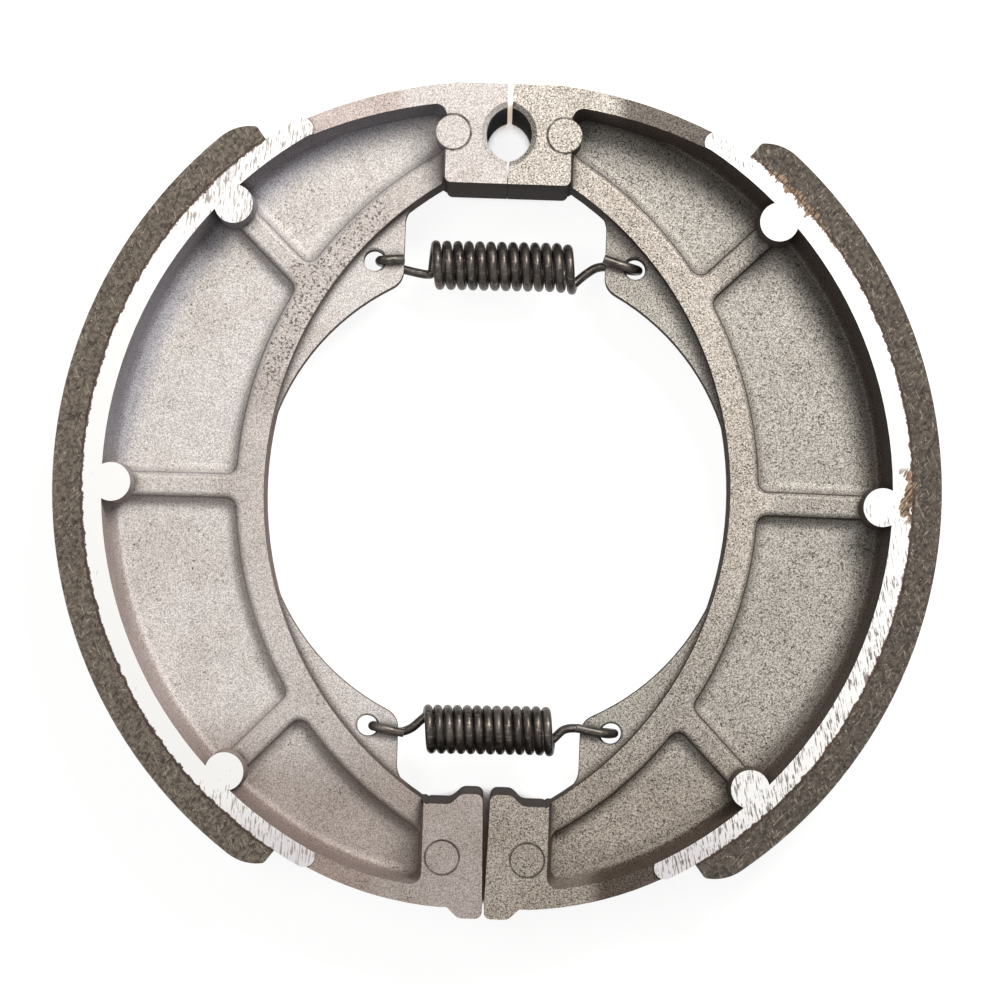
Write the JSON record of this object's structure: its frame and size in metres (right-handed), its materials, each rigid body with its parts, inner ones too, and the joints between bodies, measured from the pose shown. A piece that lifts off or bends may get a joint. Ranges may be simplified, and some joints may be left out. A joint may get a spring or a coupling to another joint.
{
  "type": "brake shoe",
  "caption": "Pair of curved drum brake shoes with bonded linings, joined by return springs; they pivot on an anchor pin and a cam spreads them against a drum.",
  "frame": {"origin": "on the axis of the drum, half way through the width of the shoes", "axes": "+Z along the drum's axis towards the side with the ejector marks, +Y from the drum's axis to the anchor, +X to the right-hand shoe"},
  "size_m": [0.1742, 0.1637, 0.028],
  "materials": {
    "cast_alloy": "as cast, with a milled outer band",
    "friction_lining": "ground moulded friction compound",
    "adhesive": "cured squeezed-out adhesive",
    "spring_wire": "dark oiled spring wire"
  },
  "bodies": {
    "left": {"left_shoe": "cast_alloy", "left_lining": "friction_lining", "left_bond_film": "adhesive", "anchor_side_spring": "spring_wire", "cam_side_spring": "spring_wire"},
    "right": {"right_shoe": "cast_alloy", "right_lining": "friction_lining", "right_bond_film": "adhesive"}
  },
  "joints": [
    {"name": "shoe_spread", "type": "hinge", "parent": "left", "child": "right", "pos_m": [0, 0.0702, 0], "axis": [0, 0, 1], "range_deg": [0, 4.7], "stiffness_Nm_per_rad": 220, "springref_deg": -1.15, "deforming": ["anchor_side_spring", "cam_side_spring"]}
  ]
}
